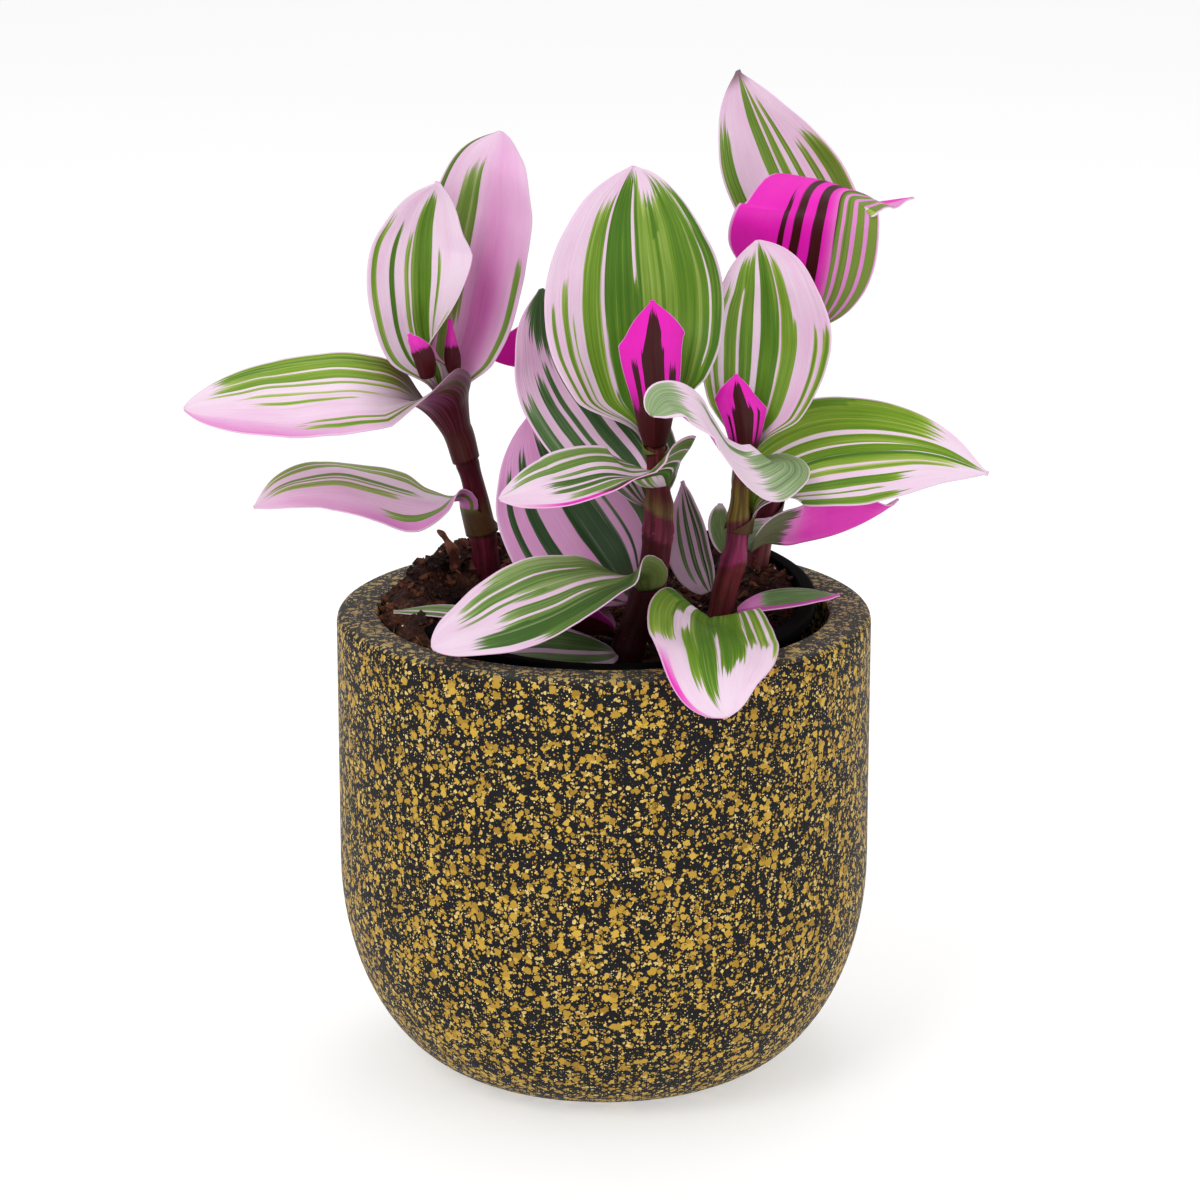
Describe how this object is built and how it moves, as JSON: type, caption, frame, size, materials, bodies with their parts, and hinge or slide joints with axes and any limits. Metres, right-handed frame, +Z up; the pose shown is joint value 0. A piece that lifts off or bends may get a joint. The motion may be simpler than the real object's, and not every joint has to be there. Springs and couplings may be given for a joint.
{
  "type": "potted plant",
  "caption": "Small striped tradescantia in a nursery pot of soil, standing in a thick round outer pot with a rounded foot.",
  "frame": {"origin": "middle of the flat foot of the outer pot", "axes": "+Z up, +X to the right as seen from the front, -Y towards the viewer"},
  "size_m": [0.2234, 0.1603, 0.2774],
  "materials": {
    "pot": "satin",
    "nursery_pot": "matte",
    "soil": "matte",
    "dry_stalk": "matte",
    "stem": "satin",
    "leaf_striped": "satin",
    "leaf_pink": "satin",
    "leaf_young": "satin"
  },
  "bodies": {
    "root": {"pot": "pot", "nursery_pot": "nursery_pot", "soil": "soil", "dry_stalk": "dry_stalk", "stem_left": "stem", "stem_middle": "stem", "stem_right": "stem", "stem_rear": "stem", "leaf_left_1": "leaf_striped", "leaf_left_2": "leaf_striped", "leaf_left_3": "leaf_striped", "leaf_left_4": "leaf_pink", "leaf_left_5": "leaf_young", "leaf_left_6": "leaf_young", "leaf_middle_1": "leaf_striped", "leaf_middle_2": "leaf_young", "leaf_middle_3": "leaf_striped", "leaf_middle_4": "leaf_striped", "leaf_middle_5": "leaf_pink", "leaf_middle_6": "leaf_striped", "leaf_middle_7": "leaf_striped", "leaf_middle_8": "leaf_young", "leaf_middle_9": "leaf_striped", "leaf_right_1": "leaf_striped", "leaf_right_2": "leaf_young", "leaf_right_3": "leaf_striped", "leaf_right_4": "leaf_striped", "leaf_right_5": "leaf_striped", "leaf_right_6": "leaf_striped", "leaf_right_7": "leaf_striped", "leaf_right_8": "leaf_young", "leaf_right_9": "leaf_striped", "leaf_rear_1": "leaf_striped", "leaf_rear_2": "leaf_young", "leaf_rear_3": "leaf_young", "leaf_rear_4": "leaf_striped"}
  },
  "joints": []
}
